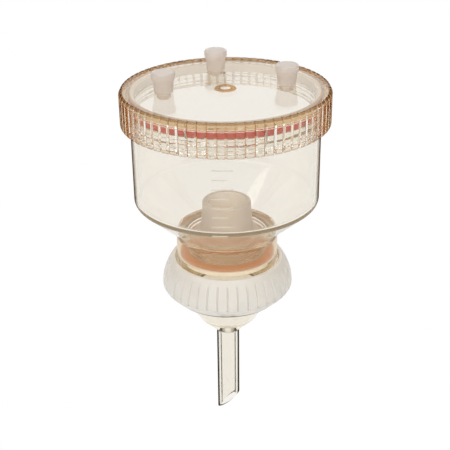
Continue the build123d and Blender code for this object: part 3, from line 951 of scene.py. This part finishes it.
# %% [markdown]
# ## Silicone pieces
# The gaskets are plain rings, cut or cast with softened edges. A torus would be quicker, but
# they are flat so that they seal, so they are turned from a small rectangle.

# %% Gaskets
LID_GASKET_BORE_R = 42.2
LID_GASKET_R = 44.3
lid_gasket = turned("lid_gasket_ring", rounded([
    (LID_GASKET_BORE_R, lid_gasket_low, 0.4), (LID_GASKET_R, lid_gasket_low, 0.4),
    (LID_GASKET_R, lid_gasket_top, 0.3), (LID_GASKET_BORE_R, lid_gasket_top, 0.3)]), steps=160)
smooth(lid_gasket)
dress(lid_gasket, "lid_gasket", "lid_gasket", red_silicone)

NECK_GASKET_R = 23.2
SKIN_GAP = 0.02
neck_gasket_top = tube_end - SKIN_GAP
neck_gasket = turned("neck_gasket_ring", rounded([
    (FILTER_BORE_R, neck_gasket_low, 0.2), (NECK_GASKET_R, neck_gasket_low, 0.4),
    (NECK_GASKET_R, neck_gasket_top, 0.4), (FILTER_BORE_R, neck_gasket_top, 0.2)]), steps=128)
smooth(neck_gasket)
dress(neck_gasket, "funnel", "neck_gasket", orange_silicone)

# %% [markdown]
# A plug is a soft stud with a tapered neck and a wide head to pull it by. Its shank is a hair
# wider than the port, which is how it stays in. All three are one outline, turned for each
# port, and each has its own mesh, because each slides out by itself.

# %% Plugs
PLUG_PINCH = 0.03
PLUG_HEAD_R = 5.5
shank_r = PORT_BORE_R + PLUG_PINCH
plug_seat = disc_top + 0.1
head_z = plug_top - 3.0
plug_outline = rounded([
    (0, plug_low, 0), (2.7, plug_low, 0.3), (shank_r, plug_low + 0.6, 0.3), (shank_r, plug_seat, 0.15),
    (4.35, plug_seat, 0.3), (4.8, head_z - 1.4, 1.0), (PLUG_HEAD_R, head_z + 0.4, 0.8),
    (PLUG_HEAD_R, plug_top, 0.9), (0, plug_top, 0)])
for plug_name in PLUG_NAMES:
    plug = turned(plug_name + "_moulding", plug_outline, steps=72)
    port = centre_of(plug_name)
    plug.data.transform(Matrix.Translation((port[0] * MM, port[1] * MM, 0)))
    smooth(plug)
    dress(plug, plug_name.replace("port_", ""), plug_name, plug_silicone)

# %% [markdown]
# The stopper seals the unit's stem in a flask. Here it stands in the funnel, wide end down, so
# the hollow of its narrow end is on top. It could be a cone cut by booleans, but as one
# outline its hollow and its bore are part of the same closed wall.

# %% Stopper
STOPPER_BORE_R = 5.6
STOPPER_FOOT_R = 16.8
SHOULDER_HEIGHT = 11.4
HOLLOW_DEPTH = 15
shoulder_z = stopper_foot + SHOULDER_HEIGHT
hollow_z = stopper_top - HOLLOW_DEPTH
stopper_outline = rounded([
    (STOPPER_BORE_R, stopper_foot + SKIN_GAP, 0.4), (STOPPER_FOOT_R, stopper_foot + SKIN_GAP, 0.6),
    (16.5, shoulder_z, 0.8), (12.9, shoulder_z, 0.6), (11.7, stopper_top, 0.9),
    (9.0, stopper_top, 0.6), (8.2, hollow_z, 1.0), (STOPPER_BORE_R, hollow_z, 0.4)])
stopper = turned("stopper_moulding", stopper_outline, steps=96)
smooth(stopper)
dress(stopper, "base", "stopper", milky_silicone)

# %% [markdown]
# ## Hidden pieces
# The support, the membrane and the seal lie between the base and the neck, where little of
# them shows. New meshes would add nothing, so they keep their CAD shapes and get a finish.

# %% Finish the carried-over CAD pieces
for node_name, material in {
    "base_seal": red_silicone,
    "membrane_filter": cellulose_membrane,
    "filter_support": support_polypropylene,
}.items():
    nodes[node_name].data.materials.clear()
    nodes[node_name].data.materials.append(material)
    print(node_name, "keeps its CAD shape and gets", material.name)

# %% [markdown]
# ## Floor and light
# The unit is shown without its flask, free in the air over a pale floor. The light is soft and
# even, as in a light tent, with darker sides: clear plastic has no colour of its own at its
# edges, so part of its outline is a mirror image of those sides. A world of one colour would
# be simpler, but it would leave the clear walls with hardly any outline. Floor and world look
# plain white to the eye and through the plastic, and light the unit with their own shades.

# %% Floor
FLOOR_DROP = 150
FLOOR_SIZE = 8
WHITE = "#FFFFFF"
deselect_all()
bpy.ops.mesh.primitive_plane_add(size=FLOOR_SIZE, location=(0, 0, (stem_tip - FLOOR_DROP) * MM))
floor = bpy.context.object
floor.name = "floor"
bpy.ops.object.transform_apply(location=True, rotation=True, scale=True)


def background_rays(tree):
    """1 where a surface is looked at, straight or through clear plastic, and 0 where it lights."""
    rays = add_node(tree, "LightPath").outputs
    return add_node(tree, "Math", {"operation": "MAXIMUM"},
                    {0: rays["Is Camera Ray"], 1: rays["Is Transmission Ray"]})


def fill_floor(tree, output):
    """Matt and pale for light, white for the eye."""
    matt = add_node(tree, "BsdfDiffuse", inputs={"Color": "#F2F2F0"})
    glow = add_node(tree, "Emission", inputs={"Color": WHITE, "Strength": 1.0})
    both = add_node(tree, "MixShader", inputs={0: background_rays(tree), 1: matt, 2: glow})
    tree.links.new(both.outputs[0], output.inputs["Surface"])


floor.data.materials.append(new_material("pale_floor", fill_floor))
print("floor", FLOOR_DROP, "mm below the stem's tip")

# %% World
BRIGHT_TO = 0.42
DARK_FROM = 0.80


def fill_world(tree, output):
    """A light tent that turns brown towards its left and right sides."""
    direction = add_node(tree, "TexCoord").outputs["Generated"]
    across = add_node(tree, "SeparateXYZ", inputs={0: direction}).outputs["X"]
    side = add_node(tree, "Math", {"operation": "ABSOLUTE"}, {0: across})
    ramp = add_node(tree, "ValToRGB", inputs={0: side})
    bright, dark = ramp.color_ramp.elements
    bright.position, bright.color = BRIGHT_TO, colour(WHITE)
    dark.position, dark.color = DARK_FROM, colour("#4E3F30")
    tent = add_node(tree, "Background", inputs={"Color": ramp, "Strength": 1.0})
    white = add_node(tree, "Background", inputs={"Color": WHITE, "Strength": 1.0})
    both = add_node(tree, "MixShader", inputs={0: background_rays(tree), 1: tent, 2: white})
    tree.links.new(both.outputs[0], output.inputs["Surface"])


world = bpy.data.worlds.new("light_tent")
bpy.context.scene.world = world
world.use_nodes = True
world.node_tree.nodes.clear()
fill_world(world.node_tree, add_node(world.node_tree, "OutputWorld"))
print("world", world.name, "has", len(world.node_tree.nodes), "nodes")

# %% [markdown]
# Two large lamps stand left and right in front of the unit. A small lamp would put a hard
# spot on every fillet. They are left out of mirrored light, so no white square shows in the
# polished walls.

# %% Lamps
LAMP_AIM = Vector((0, 0, 0.08))
LAMP_SIZE = 1.1


def soft_box(name, place_m, power):
    """A square area lamp that looks at the middle of the unit."""
    deselect_all()
    bpy.ops.object.light_add(type="AREA", location=place_m)
    lamp = bpy.context.object
    lamp.name = name
    lamp.data.size = LAMP_SIZE
    lamp.data.energy = power
    lamp.visible_glossy = False
    lamp.rotation_euler = (LAMP_AIM - Vector(place_m)).to_track_quat("-Z", "Y").to_euler()
    print(name, "gives", power, "W")


soft_box("key_left", (-0.7, -0.6, 0.9), 6)
soft_box("fill_right", (0.9, -0.4, 0.6), 3)

# %% [markdown]
# ## Camera
# The unit is seen from the front and a little from above, so that both the disc of the lid and
# the stem show. A wide lens close by would spread the lid, so a longer one stands almost half
# a metre away.

# %% Camera
CAMERA_DISTANCE = 412.1
CAMERA_HEIGHT = 264.3
CAMERA_TILT = 26.45
CAMERA_ROLL = -0.64
bpy.ops.object.camera_add(location=(0, -CAMERA_DISTANCE * MM, CAMERA_HEIGHT * MM))
camera = bpy.context.object
camera.name = "camera"
camera.matrix_world = (Matrix.Translation(camera.location)
                       @ Matrix.Rotation(math.radians(90 - CAMERA_TILT), 4, "X")
                       @ Matrix.Rotation(math.radians(CAMERA_ROLL), 4, "Z"))
camera.data.lens = 74.8
camera.data.sensor_width = 36
camera.data.shift_x = -0.0042
camera.data.clip_start = 0.01
bpy.context.scene.camera = camera
bpy.context.scene.view_settings.view_transform = "Standard"
print("camera", CAMERA_DISTANCE, "mm in front and", CAMERA_HEIGHT, "mm up")
